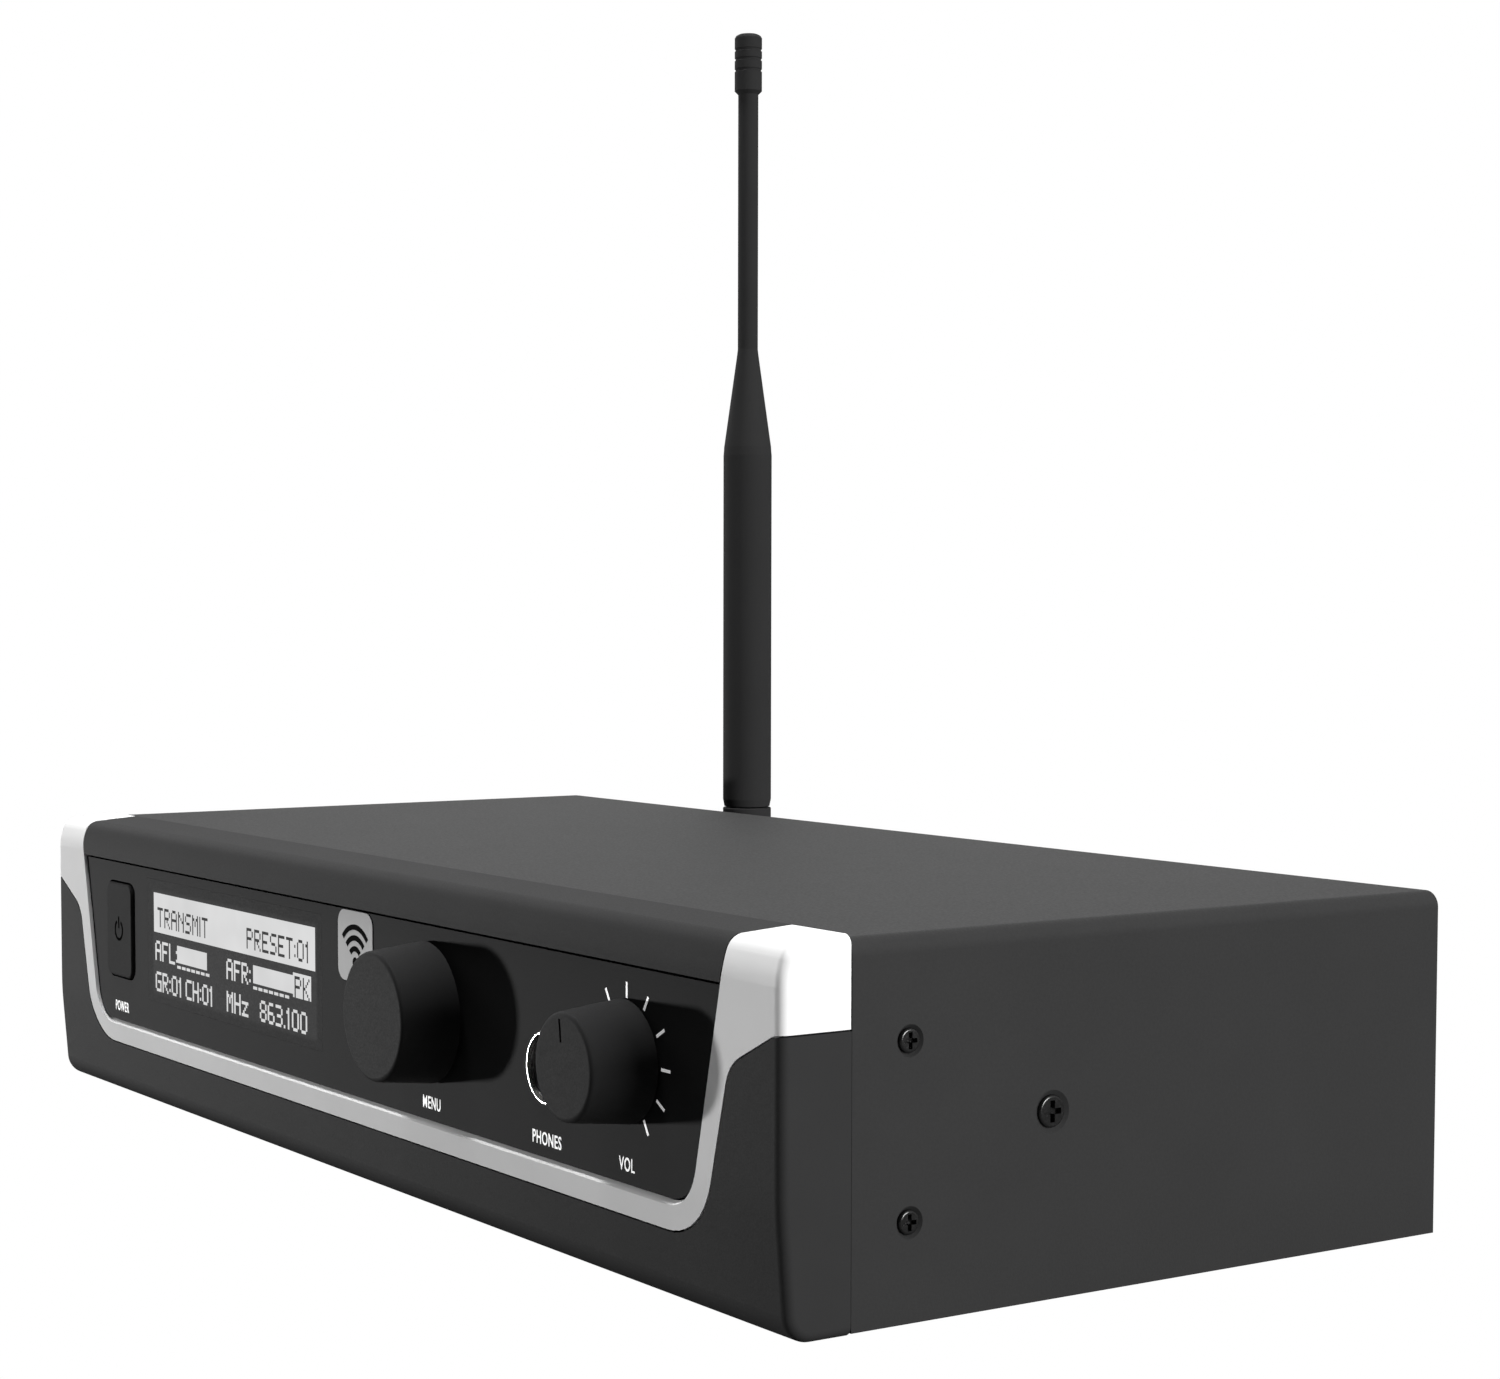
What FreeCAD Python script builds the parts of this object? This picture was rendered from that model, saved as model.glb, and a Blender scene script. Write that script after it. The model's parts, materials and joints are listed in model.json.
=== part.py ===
import FreeCAD, Part
import math
import os

# Half-rack wireless in-ear-monitor unit with a whip antenna. All sizes are in millimetres.
# Working frame: X runs to the right seen from the front, Y runs from the bezel's front plane to the
# rear, Z runs up from the bezel's bottom edge. The last step moves the whole assembly so that the
# origin is the centre of the bounding box's bottom face.

V = FreeCAD.Vector
RIGHT, LEFT = V(1, 0, 0), V(-1, 0, 0)
BACK, FRONT = V(0, 1, 0), V(0, -1, 0)
UP = V(0, 0, 1)

# ---- driving dimensions: case ------------------------------------------------------------------
HALF_W = 106.0            # half of the 212 mm half-rack width
COVER_TOP = 44.0          # top of the case, one rack unit high
COVER_BOTTOM = 0.4        # lower edge of the case, above the bezel's lower edge
COVER_FRONT = 9.55
TRAY_FRONT = 9.8          # front edge of the tray and of its corner tabs
COVER_REAR = 101.75
SHEET = 1.0               # thickness of the folded sheet metal
BEND_R = 2.0              # outer bend radius of the cover
FIT_GAP = 0.1             # assembly gap between fixed pieces
TRAY_HALF_W = HALF_W - SHEET - FIT_GAP
FLANGE_TOP = 41.0
PANEL_OUT = 101.25        # outer face of the rear panel
PANEL_IN = PANEL_OUT - SHEET
TAB_IN_X = 93.0           # inner edge of the tray's four corner tabs
FOOT_R, FOOT_DROP = 6.0, 1.6
FOOT_X, FOOT_Y = 88.0, (24.0, 86.0)

# ---- driving dimensions: bezel, trim and control panel -----------------------------------------
BEZEL_REAR = 9.5
BEZEL_TOP = 44.45         # top rear edge of the bezel, slightly proud of the cover
BEZEL_EDGE_R = 1.2
LIP_EDGE = 38.56          # lower edge of the top lip, above the recessed control panel
BEZEL_WALL = 3.5          # depth of the front wall
CAVITY_HALF_W, CAVITY_Z = 104.3, (1.8, 42.4)
WINDOW_HALF_W, WINDOW_Z = 87.5, (14.3, 37.0)
TRIM_DEPTH = 1.2
TRIM_SHORT = 0.12         # how far the trim stops ahead of the bezel's rear edge
TRIM_BOTTOM, TRIM_INNER = 8.78, 12.28
TRIM_JOINT = 0.2          # groove between the trim and its neighbours
TRIM_LEG = ((88.55, TRIM_INNER), (94.9, 40.6))   # inner edge of the leg, lower and upper end (x, z)
TRIM_LEG_RUN = (94.9 - 88.55) / (40.6 - TRIM_INNER)
TRIM_INNER_R, TRIM_OUTER_R = 6.0, 10.0    # radii where the strip turns into the leg
TRIM_KNEE_R = 5.0         # hollow curve from the leg into the cap
TRIM_EDGE = ((0.95, 0.0), (0.40, 0.45), (0.03, 0.8))     # bevelled inner edge, (y, drop below TRIM_INNER)
PANEL_JOINT = 0.4         # groove between the lip and the control panel
PLATE_FRONT, PLATE_BACK = 0.5, 2.0
LENS_X, LENS_Z = (-68.6, -6.0), (17.2, 36.7)
LCD_X, LCD_Z = (-70.0, -4.6), (15.8, 36.8)
LCD_Y = (2.1, 4.6, 8.2)   # cell front, cell back, backlight back

# ---- driving dimensions: controls --------------------------------------------------------------
POWER_X, POWER_Z = -79.45, 27.3
POWER_W, POWER_H, POWER_CORNER = 10.35, 15.2, 1.6
POWER_FRONT, POWER_BACK = 0.0, 3.0
BUTTON_GAP = 0.3
PLUNGER_R, PLUNGER_END = 1.75, 9.6
MENU_X, MENU_Z = 26.3, 26.9
MENU_R_BASE, MENU_R_FACE, MENU_BASE_Y = 9.3, 8.45, -0.3
VOLUME_X, VOLUME_Z = 74.3, 27.0
VOLUME_R_BASE, VOLUME_R_FACE, VOLUME_BASE_Y = 7.35, 6.4, 0.1
KNOB_FACE_Y = -8.3
KNOB_EDGE_R = 0.6
POINTER_TURN = -7.0       # degrees; the volume knob is parked just short of its middle
KNOB_CAVITY_R, KNOB_CAVITY_Y = 5.9, -2.8
KNOB_BORE_Y = -7.0
SHAFT_R, SHAFT_REAR = 3.0, 8.4
RUN_CLEAR = 0.05          # radial clearance of the running fits
BUSH_R, BUSH_FRONT = 3.5, -1.7
NUT_FLATS, NUT_FRONT = 9.0, -1.3
CONTROL_BODY = (12.0, 12.0)
CONTROL_Y = (4.2, 10.4)
BORE_REAR = 9.9
JACK_X, JACK_Z = 55.95, 23.6
JACK_BORE_R, JACK_SLEEVE_R = 3.25, 4.57
JACK_MOUTH_R, JACK_NOSE_Y = 4.27, 0.95       # the body's nose fills the sleeve behind its mouth
JACK_MOUTH, JACK_SLEEVE_REAR, JACK_BODY_REAR = 0.15, 9.0, 33.0

# ---- driving dimensions: boards ----------------------------------------------------------------
BOARD_T = 1.6
FRONT_BOARD_Y = 10.4
FRONT_BOARD_HALF_W, FRONT_BOARD_Z = 90.0, (4.5, 42.0)
FRONT_BOSS_X, FRONT_BOSS_Z = 60.0, (8.0, 40.4)
BEZEL_BOSS_X, BEZEL_BOSS_Z = 98.5, (8.0, 36.0)
MAIN_BOARD_Z = 7.4
MAIN_BOARD_HALF_W, MAIN_BOARD_Y = 100.0, (14.0, 95.0)
STANDOFF_X, STANDOFF_Y, STANDOFF_R = (-90.0, 0.0, 90.0), (24.0, 88.0), 2.6
BOARD_TOP = MAIN_BOARD_Z + BOARD_T

# ---- driving dimensions: screws ----------------------------------------------------------------
EAR_SCREW_Y, EAR_SCREW_Z = 17.57, (11.77, 32.11)
EAR_SEAT_R, EAR_SHANK_R = 1.85, 1.0     # countersunk seat and shank of the four ear screws
COVER_SCREW_Y, COVER_SCREW_Z = 38.2, 22.2
COVER_SEAT_R = 2.5
HEAD_SINK = 0.35          # depth at which a countersunk head leaves its seat
HEAD_PROUD = 0.05         # height of its face above the sheet
PAN_HEAD_R, PAN_HEAD_H = 2.2, 1.3
M25_R = 1.2

# ---- driving dimensions: rear sockets ----------------------------------------------------------
SOCKET_Z = 22.0
COMBO_X = {"left": 23.0, "right": 53.0}
COMBO_FLANGE = (26.0, 31.0, 1.6)
COMBO_BODY_R, COMBO_REAR_Y = 12.0, 77.0
COMBO_SHELL_R, COMBO_INSERT_R, COMBO_FLOOR_Y = 9.7, 7.8, 89.0
COMBO_HOLE_R, COMBO_HOLE_PCD = 1.3, 11.0
COMBO_SCREW_X, COMBO_SCREW_Z = 9.5, 12.0
OUTPUT_X = {"left": -31.0, "right": -8.0}
OUTPUT_BODY, OUTPUT_BODY_Y = (13.0, 15.0), 76.0
OUTPUT_THREAD_R, OUTPUT_MOUTH = 5.6, 104.2
OUTPUT_NUT_R, OUTPUT_NUT_T = 7.4, 2.2
DC_X, DC_BODY, DC_BODY_Y = 88.0, (9.0, 11.0), 88.0
DC_FACE_R, DC_BORE_R, DC_PIN_R, DC_FACE = 4.0, 2.8, 1.0, 101.7
HOOK_X, HOOK_Z, HOOK_T = (71.0, 80.5), (15.0, 29.0), 1.8
HOOK_REACH, HOOK_LIP = 111.0, 106.2
REAR_SCREW_X, REAR_SCREW_Z = 98.5, (6.0, 38.0)

# ---- driving dimensions: antenna ---------------------------------------------------------------
ANT_X, ANT_Y = -77.9, 122.75
BNC_R, BNC_MOUTH, BNC_BORE_R = 4.8, 112.5, 4.1
BNC_LUG_R, BNC_LUG_REACH, BNC_LUG_Y = 1.0, 5.5, 109.5
BNC_BLOCK_HALF, BNC_BLOCK_Y = 7.0, 86.0
BNC_NUT_FLATS, BNC_NUT_T = 14.0, 2.4
BNC_FLOOR = 103.0
RING_R, RING_BORE_R, RING_NECK_R = 7.2, 5.75, 4.3
RING_Y = (104.6, 113.1, 114.5)
PLUG_R, PLUG_BORE_R, PLUG_MOUTH = 4.0, 2.6, 104.5
NECK_R, SHOULDER_R, SHOULDER_Y = 4.2, 6.4, (114.65, 117.0)
FORK_R, TONGUE_R, TONGUE_HALF, FORK_SLOT_HALF = 4.43, 4.2, 2.4, 2.7
PIVOT_R = 1.2
WHIP_R, WHIP_FOOT_Z = 4.43, 28.0
COLLAR_TOP, SLEEVE_BOTTOM, TAPER_BOTTOM, TAPER_TOP = 42.55, 42.8, 107.2, 126.6
ROD_R, ROD_FOOT, ROD_TOP = 1.84, 33.0, 181.5
TIP_R, TIP_BOTTOM, TIP_TOP = 2.49, 172.7, 183.6
TIP_GROOVES, TIP_GROOVE_W, TIP_GROOVE_D = (177.05, 179.0, 180.7), 0.55, 0.16


# ---- small building blocks ---------------------------------------------------------------------
def box(x0, x1, y0, y1, z0, z1):
    return Part.makeBox(x1 - x0, y1 - y0, z1 - z0, V(x0, y0, z0))


def block(x, z, size, y0, y1):
    """Box centred on (x, z), size = (width, height), from y0 to y1."""
    return box(x - size[0] / 2, x + size[0] / 2, y0, y1, z - size[1] / 2, z + size[1] / 2)


def rod(x, z, r, y0, y1):
    """Cylinder along Y."""
    return Part.makeCylinder(r, y1 - y0, V(x, y0, z), BACK)


def post(x, y, r, z0, z1):
    """Cylinder along Z."""
    return Part.makeCylinder(r, z1 - z0, V(x, y, z0), UP)


def axle(y, z, r, x0, x1):
    """Cylinder along X."""
    return Part.makeCylinder(r, x1 - x0, V(x0, y, z), RIGHT)


def fuse(pieces):
    return pieces[0].fuse(pieces[1:]).removeSplitter()


def cut(body, tools):
    return body.cut(Part.makeCompound(tools)) if tools else body


def group(pieces):
    return Part.makeCompound(pieces)


def mirrored(shape):
    return shape.mirror(V(0, 0, 0), RIGHT)


def rounded_wire(corners, point):
    """Closed outline through corners (u, v, radius); point(u, v) gives the position in space."""
    count = len(corners)
    ends = []
    for i, (u, v, r) in enumerate(corners):
        here = V(u, v, 0)
        before = V(corners[i - 1][0], corners[i - 1][1], 0)
        after = V(corners[(i + 1) % count][0], corners[(i + 1) % count][1], 0)
        d_in, d_out = (here - before).normalize(), (after - here).normalize()
        half_turn = d_in.getAngle(d_out) / 2
        reach = r * math.tan(half_turn)
        start, end = here - d_in * reach, here + d_out * reach
        middle = None
        if r > 0:
            inward = (d_out - d_in).normalize()
            middle = here + inward * (r / math.cos(half_turn) - r)
        ends.append((start, middle, end))
    edges = []
    for i, (start, middle, end) in enumerate(ends):
        if middle is not None:
            edges.append(Part.Arc(*[point(p.x, p.y) for p in (start, middle, end)]).toShape())
        following = ends[(i + 1) % count][0]
        if (following - end).Length > 1e-6:
            edges.append(Part.LineSegment(point(end.x, end.y), point(following.x, following.y)).toShape())
    return Part.Wire(Part.__sortEdges__(edges))


def front_prism(corners, y0, y1):
    """Outline in the front view, extruded from y0 to y1."""
    wire = rounded_wire(corners, lambda u, v: V(u, y0, v))
    return Part.Face(wire).extrude(V(0, y1 - y0, 0))


def plan_prism(corners, z0, z1):
    """Outline in the top view, extruded from z0 to z1."""
    wire = rounded_wire(corners, lambda u, v: V(u, v, z0))
    return Part.Face(wire).extrude(V(0, 0, z1 - z0))


def spun(profile, origin, axis_point):
    """Solid of revolution: profile is a closed list of (radius, height) corners about a Z axis."""
    points = [V(origin.x + r, origin.y, origin.z + h) for r, h in profile]
    face = Part.Face(Part.makePolygon(points + points[:1]))
    return face.revolve(origin, axis_point, 360)


def aim(shape, position, direction):
    """Moves a shape built about +Z at the origin to a position and direction."""
    moved = shape.copy()
    moved.Placement = FreeCAD.Placement(position, FreeCAD.Rotation(UP, direction))
    return moved


def hex_nut(flats, height, bore_r):
    corner_r = flats / math.sqrt(3)
    points = [V(corner_r * math.cos(math.radians(a)), corner_r * math.sin(math.radians(a)), 0)
              for a in range(0, 360, 60)]
    solid = Part.Face(Part.makePolygon(points + points[:1])).extrude(V(0, 0, height))
    return solid.cut(Part.makeCylinder(bore_r, height))


def cross_recess(reach, width, depth):
    arm = Part.makeBox(2 * reach, width, depth, V(-reach, -width / 2, -depth))
    other = Part.makeBox(width, 2 * reach, depth, V(-width / 2, -reach, -depth))
    return arm.fuse(other)


def pan_screw(shank):
    """Pan-head cross-recess screw; the underside of the head is at the origin, the head points to +Z."""
    head = Part.makeCylinder(PAN_HEAD_R, PAN_HEAD_H)
    head = head.makeFillet(0.5, [e for e in head.Edges if abs(e.BoundBox.ZMin - PAN_HEAD_H) < 1e-6])
    head = head.cut(cross_recess(1.25, 0.55, 0.8).translate(V(0, 0, PAN_HEAD_H)))
    return fuse([head, Part.makeCylinder(M25_R, shank, V(0, 0, -shank))])


def seat_radius(seat_r, shank_r, depth):
    """Radius of a countersunk seat at a depth below the sheet's outer face."""
    return seat_r + (shank_r - seat_r) * depth / SHEET


def screw_seat(seat_r, shank_r):
    """Countersunk hole through one sheet; its outer rim is at the origin, facing +Z."""
    cone = Part.makeCone(shank_r, seat_r, SHEET, V(0, 0, -SHEET))
    return fuse([cone, Part.makeCylinder(seat_r, 0.2)])


def flush_screw(seat_r, shank_r, shank):
    """Countersunk cross-recess screw in a sheet whose outer face is at the origin, facing +Z."""
    fit, rim_gap = 0.05, 0.12
    head_r = seat_radius(seat_r, shank_r, HEAD_SINK) - rim_gap
    foot = 0.9 * SHEET
    foot_r = seat_radius(seat_r, shank_r, foot) - fit
    cone = Part.makeCone(foot_r, head_r, foot - HEAD_SINK, V(0, 0, -foot))
    face = Part.makeCylinder(head_r, HEAD_SINK + HEAD_PROUD, V(0, 0, -HEAD_SINK))
    face = face.makeFillet(0.32, [e for e in face.Edges if e.BoundBox.ZMin > HEAD_PROUD - 1e-3])
    reach, width, depth = 0.66 * head_r, 0.36 * head_r, 0.75
    recess = cross_recess(reach, width, depth).translate(V(0, 0, HEAD_PROUD))
    thread = Part.makeCylinder(shank_r - fit, shank, V(0, 0, -foot - shank))
    return fuse([fuse([cone, face]).cut(recess), thread])


# ---- case --------------------------------------------------------------------------------------
def cover_section(inset, y0, y1):
    side, top, r = HALF_W - inset, COVER_TOP - inset, BEND_R - inset
    corners = [(-side, COVER_BOTTOM, 0), (side, COVER_BOTTOM, 0), (side, top, r), (-side, top, r)]
    return front_prism(corners, y0, y1)


def top_cover():
    shell = cover_section(0, COVER_FRONT, COVER_REAR).cut(
        cover_section(SHEET, COVER_FRONT - 1, COVER_REAR + 1))
    holes = []
    for direction, x in ((RIGHT, HALF_W), (LEFT, -HALF_W)):
        ear_seat, cover_seat = screw_seat(EAR_SEAT_R, EAR_SHANK_R), screw_seat(COVER_SEAT_R, M25_R)
        holes += [aim(ear_seat, V(x, EAR_SCREW_Y, z), direction) for z in EAR_SCREW_Z]
        holes.append(aim(cover_seat, V(x, COVER_SCREW_Y, COVER_SCREW_Z), direction))
    return cut(shell, holes)


def chassis_tray():
    floor = COVER_BOTTOM + SHEET
    pieces = [box(-TRAY_HALF_W, TRAY_HALF_W, TRAY_FRONT, PANEL_OUT, COVER_BOTTOM, floor)]
    for side in (-1, 1):
        inner, outer = side * (TRAY_HALF_W - SHEET), side * TRAY_HALF_W
        tab = side * TAB_IN_X
        pieces.append(box(min(inner, outer), max(inner, outer), TRAY_FRONT, PANEL_IN,
                          COVER_BOTTOM, FLANGE_TOP))
        for y in (TRAY_FRONT, PANEL_IN - SHEET):
            pieces.append(box(min(tab, outer), max(tab, outer), y, y + SHEET, COVER_BOTTOM, FLANGE_TOP))
    tray = fuse(pieces)
    holes = []
    for x in (-BEZEL_BOSS_X, BEZEL_BOSS_X):
        holes += [rod(x, z, M25_R, TRAY_FRONT, TRAY_FRONT + 2) for z in BEZEL_BOSS_Z]
        holes += [rod(x, z, M25_R, PANEL_IN - 2, PANEL_IN) for z in REAR_SCREW_Z]
    for x0, x1 in ((-HALF_W, -TRAY_HALF_W + 2), (TRAY_HALF_W - 2, HALF_W)):
        holes += [axle(EAR_SCREW_Y, z, EAR_SHANK_R, x0, x1) for z in EAR_SCREW_Z]
        holes.append(axle(COVER_SCREW_Y, COVER_SCREW_Z, M25_R, x0, x1))
    return cut(tray, holes)


def rear_panel():
    floor = COVER_BOTTOM + SHEET
    panel = box(-TRAY_HALF_W, TRAY_HALF_W, PANEL_IN, PANEL_OUT, floor, COVER_TOP)
    panel = panel.common(cover_section(SHEET + FIT_GAP, PANEL_IN, PANEL_OUT))
    holes = [rod(x, SOCKET_Z, COMBO_BODY_R + 0.1, PANEL_IN, PANEL_OUT) for x in COMBO_X.values()]
    holes += [rod(x, SOCKET_Z, OUTPUT_THREAD_R + 0.1, PANEL_IN, PANEL_OUT) for x in OUTPUT_X.values()]
    holes.append(rod(DC_X, SOCKET_Z, DC_FACE_R + 0.1, PANEL_IN, PANEL_OUT))
    holes.append(rod(ANT_X, SOCKET_Z, BNC_R + 0.1, PANEL_IN, PANEL_OUT))
    for x in (-REAR_SCREW_X, REAR_SCREW_X):
        holes += [rod(x, z, M25_R, PANEL_IN, PANEL_OUT) for z in REAR_SCREW_Z]
    for x, z in combo_screw_places():
        holes.append(rod(x, z, M25_R, PANEL_IN, PANEL_OUT))
    return cut(panel, holes)


def rubber_feet():
    feet = []
    for x in (-FOOT_X, FOOT_X):
        for y in FOOT_Y:
            foot = Part.makeCylinder(FOOT_R, COVER_BOTTOM + FOOT_DROP, V(x, y, -FOOT_DROP), UP)
            rim = [e for e in foot.Edges if abs(e.BoundBox.ZMax + FOOT_DROP) < 1e-3]
            feet.append(foot.makeChamfer(0.5, rim))
    return group(feet)


# ---- front bezel, trim and control panel -------------------------------------------------------
def bezel_body():
    """The full outer form of the bezel: its side profile run across the width, long edges rounded."""
    corners = [(BEZEL_REAR, 0, 0), (1.2, 0, 3.5), (0, 15.0, 60.0), (0, 40.79, 8.6), (1.17, 43.85, 2.4),
               (BEZEL_REAR, BEZEL_TOP, 0)]
    wire = rounded_wire(corners, lambda u, v: V(-HALF_W, u, v))
    solid = Part.Face(wire).extrude(V(2 * HALF_W, 0, 0))
    ends = [e for e in solid.Edges
            if e.BoundBox.XLength < 1e-3 and e.BoundBox.YMin < BEZEL_REAR - 0.1]
    return solid.makeFillet(BEZEL_EDGE_R, ends)


def trim_outline(gap):
    """Right half of the U-shaped trim in the front view; gap widens it for its seat in the bezel."""
    leg_out = 90.72 + gap
    return [(-1, TRIM_BOTTOM - gap, 0), (leg_out, TRIM_BOTTOM - gap, TRIM_OUTER_R),
            (96.04 + gap, 29.68 - gap, TRIM_KNEE_R), (104.8, 34.0 - gap, 3.0),
            (HALF_W + 4, 34.15 - gap, 0), (HALF_W + 4, 50, 0),
            (TRIM_LEG[1][0] - gap, 50, 0), (TRIM_LEG[1][0] - gap, TRIM_LEG[1][1], 6.0),
            (TRIM_LEG[0][0] - gap, TRIM_INNER + gap, TRIM_INNER_R),
            (-1, TRIM_INNER + gap, 0)]


def trim_half(gap):
    """The trim follows the bezel's front, top and right side as a skin of constant depth."""
    form = bezel_body()
    depth = TRIM_DEPTH + gap
    rear = BEZEL_REAR + 1 if gap else BEZEL_REAR - TRIM_SHORT
    core = form.copy()
    core.translate(V(-depth, depth, -depth))
    return form.cut(core).common(front_prism(trim_outline(gap), -2, rear))


def trim_edge_section(y, drop):
    """Section of the plug that bevels the trim's inner edge; it dies out where the strip meets the leg."""
    low, high = TRIM_INNER - drop, LIP_EDGE
    x_low, x_high = (TRIM_LEG[0][0] + TRIM_LEG_RUN * (z - TRIM_INNER) for z in (low, high))
    tangent_ratio = 0.854      # tangent length over radius of the corner arc, whose end on the leg stays put
    radius = TRIM_INNER_R + drop / tangent_ratio
    corners = [(-x_low, low, radius), (x_low, low, radius), (x_high, high, 0), (-x_high, high, 0)]
    return rounded_wire(corners, lambda u, v: V(u, y, v))


def silver_trim():
    right = trim_half(0)
    bevel = Part.makeLoft([trim_edge_section(y, drop) for y, drop in TRIM_EDGE], True, True)
    right = right.cut(bevel)
    return fuse([right, mirrored(right)])


def panel_outline(gap, top_gap):
    """Outline of the recessed control panel, inside the trim and below the lip."""
    low, high = TRIM_INNER + gap, LIP_EDGE - top_gap
    x_low, x_high = (TRIM_LEG[0][0] + TRIM_LEG_RUN * (z - TRIM_INNER) - gap for z in (low, high))
    return [(-x_low, low, TRIM_INNER_R), (x_low, low, TRIM_INNER_R), (x_high, high, 0), (-x_high, high, 0)]


def front_bezel():
    body = bezel_body()
    cavity = box(-CAVITY_HALF_W, CAVITY_HALF_W, BEZEL_WALL, BEZEL_REAR + 1, *CAVITY_Z)
    window = box(-WINDOW_HALF_W, WINDOW_HALF_W, -1, BEZEL_REAR, *WINDOW_Z)
    pocket = front_prism(panel_outline(0, 0), -1, PLATE_BACK)
    seat = trim_half(TRIM_JOINT)
    shell = cut(body, [cavity])
    shell = shell.cut(window).cut(pocket).cut(seat).cut(mirrored(seat))
    bosses, bores = [], []
    for x in (-BEZEL_BOSS_X, BEZEL_BOSS_X):
        bosses += [rod(x, z, 3.0, BEZEL_WALL - 0.5, TRAY_FRONT) for z in BEZEL_BOSS_Z]
        bores += [rod(x, z, M25_R, 5, TRAY_FRONT + 1) for z in BEZEL_BOSS_Z]
    for x in (-FRONT_BOSS_X, FRONT_BOSS_X):
        bosses += [rod(x, z, 2.3, BEZEL_WALL - 0.5, FRONT_BOARD_Y) for z in FRONT_BOSS_Z]
        bores += [rod(x, z, M25_R, 5, FRONT_BOARD_Y + 1) for z in FRONT_BOSS_Z]
    return cut(fuse([shell] + bosses), bores)


def control_panel():
    plate = front_prism(panel_outline(TRIM_JOINT, PANEL_JOINT), PLATE_FRONT, PLATE_BACK)
    holes = [box(*LENS_X, -1, 3, *LENS_Z), power_outline(BUTTON_GAP, -1, 3)]
    holes += [rod(x, z, BUSH_R + FIT_GAP, -1, 3) for x, z in ((MENU_X, MENU_Z), (VOLUME_X, VOLUME_Z))]
    holes.append(rod(JACK_X, JACK_Z, JACK_SLEEVE_R + RUN_CLEAR, -1, 3))
    return cut(plate, holes)


def display_lens():
    joint = 0.02
    return box(LENS_X[0] + joint, LENS_X[1] - joint, PLATE_FRONT, PLATE_BACK,
               LENS_Z[0] + joint, LENS_Z[1] - joint)


def lcd_backlight():
    tray = box(*LCD_X, LCD_Y[1], LCD_Y[2], *LCD_Z)
    pins = [box(x, x + 0.6, LCD_Y[2], FRONT_BOARD_Y, LCD_Z[0] + 0.6, LCD_Z[0] + 1.2)
            for x in range(-60, -12, 4)]
    return fuse([tray] + pins)


# ---- controls ----------------------------------------------------------------------------------
def power_outline(gap, y0, y1):
    w, h, r = POWER_W / 2 + gap, POWER_H / 2 + gap, POWER_CORNER + gap
    corners = [(POWER_X - w, POWER_Z - h, r), (POWER_X + w, POWER_Z - h, r),
               (POWER_X + w, POWER_Z + h, r), (POWER_X - w, POWER_Z + h, r)]
    return front_prism(corners, y0, y1)


def power_button():
    cap = power_outline(0, POWER_FRONT, POWER_BACK)
    rim = [e for e in cap.Edges if e.BoundBox.YMax < POWER_FRONT + 1e-3]
    cap = cap.makeFillet(0.35, rim)
    stem = rod(POWER_X, POWER_Z, 2.6, POWER_BACK, 5.2)
    socket = rod(POWER_X, POWER_Z, PLUNGER_R, 3.6, 5.2)
    return fuse([cap, stem]).cut(socket)


def power_switch():
    body = block(POWER_X, POWER_Z, (7.0, 7.0), 6.6, FRONT_BOARD_Y)
    return body.cut(rod(POWER_X, POWER_Z, PLUNGER_R + RUN_CLEAR, 6.5, FRONT_BOARD_Y - 0.4 + 1e-3))


def power_switch_plunger():
    return rod(POWER_X, POWER_Z, PLUNGER_R, 3.6, 8.9)


def turned_knob(x, z, base_y, base_r, face_r):
    """Tapered knob with a rounded front rim, a rear recess for the nut and a blind bore."""
    cone = Part.makeCone(base_r, face_r, base_y - KNOB_FACE_Y, V(x, base_y, z), FRONT)
    rims = [e for e in cone.Edges if e.BoundBox.YLength < 1e-3 and e.BoundBox.YMax < KNOB_FACE_Y + 1e-3]
    cone = cone.makeFillet(KNOB_EDGE_R, rims)
    recess = rod(x, z, KNOB_CAVITY_R, KNOB_CAVITY_Y, base_y + 1)
    bore = rod(x, z, SHAFT_R, KNOB_BORE_Y, 0)
    return cone.cut(recess).cut(bore)


def menu_knob():
    return turned_knob(MENU_X, MENU_Z, MENU_BASE_Y, MENU_R_BASE, MENU_R_FACE)


def volume_knob():
    knob = turned_knob(VOLUME_X, VOLUME_Z, VOLUME_BASE_Y, VOLUME_R_BASE, VOLUME_R_FACE)
    notch_half, notch_depth, notch_low, notch_high = 0.2, 0.5, 2.9, 5.6
    notch = box(VOLUME_X - notch_half, VOLUME_X + notch_half, KNOB_FACE_Y - 1, KNOB_FACE_Y + notch_depth,
                VOLUME_Z + notch_low, VOLUME_Z + notch_high)
    notch.rotate(V(VOLUME_X, 0, VOLUME_Z), BACK, POINTER_TURN)
    return knob.cut(notch)


def control_body(x, z):
    """Housing and threaded bush of the encoder or the potentiometer, bored for its shaft."""
    housing = block(x, z, CONTROL_BODY, *CONTROL_Y)
    bush = rod(x, z, BUSH_R, BUSH_FRONT, CONTROL_Y[0] + 0.5)
    return fuse([housing, bush]).cut(rod(x, z, SHAFT_R + RUN_CLEAR, BUSH_FRONT - 1, BORE_REAR))


def encoder_plunger():
    return rod(MENU_X, MENU_Z, SHAFT_R - RUN_CLEAR, SHAFT_REAR + 0.1, BORE_REAR - 0.6)


def shaft_nuts():
    nut = hex_nut(NUT_FLATS, PLATE_FRONT - NUT_FRONT, BUSH_R)
    return group([aim(nut, V(x, PLATE_FRONT, z), FRONT)
                  for x, z in ((MENU_X, MENU_Z), (VOLUME_X, VOLUME_Z))])


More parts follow.
